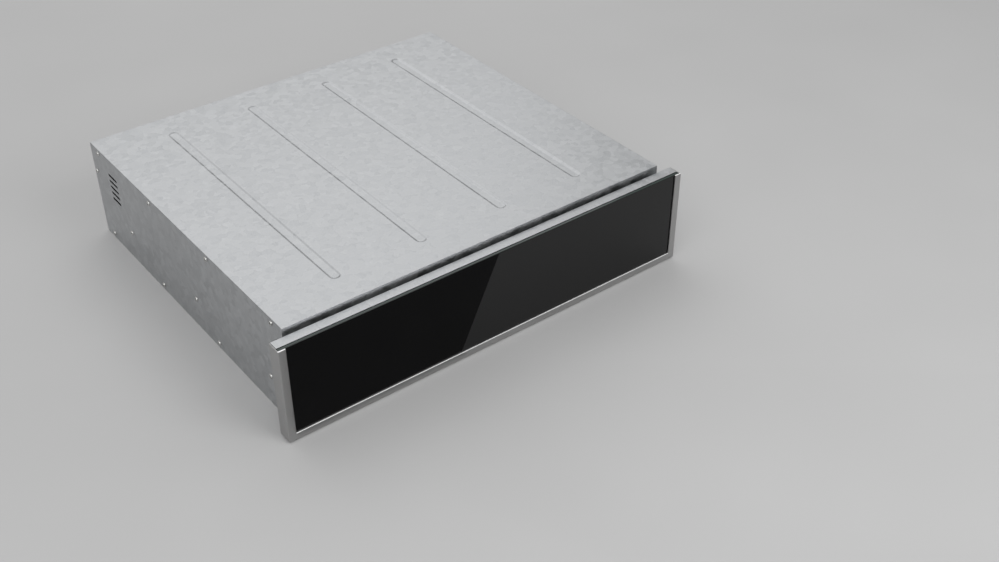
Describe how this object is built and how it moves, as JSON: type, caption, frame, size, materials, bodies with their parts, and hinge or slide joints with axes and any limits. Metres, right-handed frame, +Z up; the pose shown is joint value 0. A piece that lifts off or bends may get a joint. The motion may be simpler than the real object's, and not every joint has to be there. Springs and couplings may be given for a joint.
{
  "type": "warming drawer",
  "caption": "Built-in warming drawer: black glass front in a steel trim, on ball runners in a flat steel casing, with push latch, fan heater and inner controls.",
  "frame": {"origin": "middle of the bottom of the whole object's box, on the niche floor", "axes": "+X to the right seen from the front, along the front's width; +Y to the back; +Z up"},
  "size_m": [0.595, 0.545, 0.14],
  "materials": {
    "trim_steel": "satin brushed along each bar",
    "black_glass": "polished, enamelled black on the back",
    "foam_tape": "matt foam",
    "galvanised_steel": "galvanised sheet with a faint spangle",
    "drawer_steel": "fine brushed stainless sheet",
    "plated_steel": "bright zinc plate",
    "ball_steel": "polished",
    "screw_steel": "zinc plate",
    "rubber": "matt",
    "black_plastic": "finely textured",
    "grey_plastic": "moulded",
    "lamp_lens": "clear tinted",
    "board": "solder-resist lacquer",
    "lead_sheath": "smooth grey sheath",
    "laminations": "stacked sheet",
    "copper_winding": "enamelled wire",
    "bright_steel": "ground",
    "impeller_aluminium": "pressed sheet",
    "heater_steel": "heat-darkened tube"
  },
  "bodies": {
    "casing": {"casing_base": "galvanised_steel", "casing_left_side": "galvanised_steel", "casing_right_side": "galvanised_steel", "casing_rear_panel": "galvanised_steel", "casing_top_cover": "galvanised_steel", "casing_screws": "screw_steel", "runner_outer_left": "plated_steel", "runner_outer_right": "plated_steel", "runner_outer_screws": "screw_steel", "latch_housing": "black_plastic", "terminal_block": "grey_plastic", "terminal_cover": "black_plastic", "cable_gland": "grey_plastic", "gland_locknut": "grey_plastic", "drawer_lead": "lead_sheath"},
    "runner_middles": {"runner_middle_left": "plated_steel", "runner_middle_right": "plated_steel"},
    "outer_cages": {"outer_ball_cages": "plated_steel", "outer_balls": "ball_steel"},
    "inner_cages": {"inner_ball_cages": "plated_steel", "inner_balls": "ball_steel"},
    "plunger": {"latch_plunger": "grey_plastic"},
    "knob": {"selector_knob": "black_plastic", "selector_spindle": "bright_steel"},
    "rocker": {"switch_rocker": "black_plastic"},
    "fan": {"fan_impeller": "impeller_aluminium", "fan_shaft": "bright_steel", "motor_rotor": "laminations"},
    "drawer": {"left_trim": "trim_steel", "right_trim": "trim_steel", "bottom_trim": "trim_steel", "glass_front": "black_glass", "glass_tape": "foam_tape", "front_carrier": "galvanised_steel", "drawer_tray": "drawer_steel", "front_channel": "drawer_steel", "control_panel": "drawer_steel", "drawer_bulkhead": "drawer_steel", "drawer_back": "drawer_steel", "fan_box_cover": "drawer_steel", "fan_plate": "drawer_steel", "runner_inner_left": "plated_steel", "runner_inner_right": "plated_steel", "latch_striker": "plated_steel", "motor_bridges": "plated_steel", "runner_inner_screws": "screw_steel", "front_screws": "screw_steel", "drawer_cover_screws": "screw_steel", "front_buffers": "rubber", "anti_slip_mat": "rubber", "switch_body": "black_plastic", "wiring_duct": "black_plastic", "lead_anchor": "black_plastic", "temperature_selector": "black_plastic", "thermal_cutout": "grey_plastic", "pilot_lamp": "lamp_lens", "control_board": "board", "motor_stator": "laminations", "motor_coil": "copper_winding", "heater_element": "heater_steel"}
  },
  "joints": [
    {"name": "drawer_slide", "type": "slide", "parent": "casing", "child": "drawer", "axis": [0, -1, 0], "range_m": [-0.003, 0.43], "deforming": ["drawer_lead"]},
    {"name": "runner_middle_slide", "type": "slide", "parent": "casing", "child": "runner_middles", "axis": [0, -1, 0], "range_m": [-0.0015, 0.215]},
    {"name": "outer_cage_slide", "type": "slide", "parent": "casing", "child": "outer_cages", "axis": [0, -1, 0], "range_m": [-0.00075, 0.1075]},
    {"name": "inner_cage_slide", "type": "slide", "parent": "casing", "child": "inner_cages", "axis": [0, -1, 0], "range_m": [-0.00225, 0.3225]},
    {"name": "latch_plunger_slide", "type": "slide", "parent": "casing", "child": "plunger", "axis": [0, -1, 0], "range_m": [-0.0003, 0.04]},
    {"name": "selector_turn", "type": "hinge", "parent": "drawer", "child": "knob", "pos_m": [0.205, -0.23335, 0.1], "axis": [0, 0, -1], "range_deg": [0, 270]},
    {"name": "switch_tip", "type": "hinge", "parent": "drawer", "child": "rocker", "pos_m": [0.15, -0.23335, 0.1], "axis": [0, 1, 0], "range_deg": [0, 16]},
    {"name": "fan_spin", "type": "hinge", "parent": "drawer", "child": "fan", "pos_m": [0, 0.19, 0.063], "axis": [0, 1, 0], "continuous": true}
  ],
  "couplings": [
    {"joint": "runner_middle_slide", "follows": "drawer_slide", "ratio": 0.5},
    {"joint": "outer_cage_slide", "follows": "drawer_slide", "ratio": 0.25},
    {"joint": "inner_cage_slide", "follows": "drawer_slide", "ratio": 0.75},
    {"joint": "latch_plunger_slide", "follows": "drawer_slide", "ratio": 0.093}
  ]
}
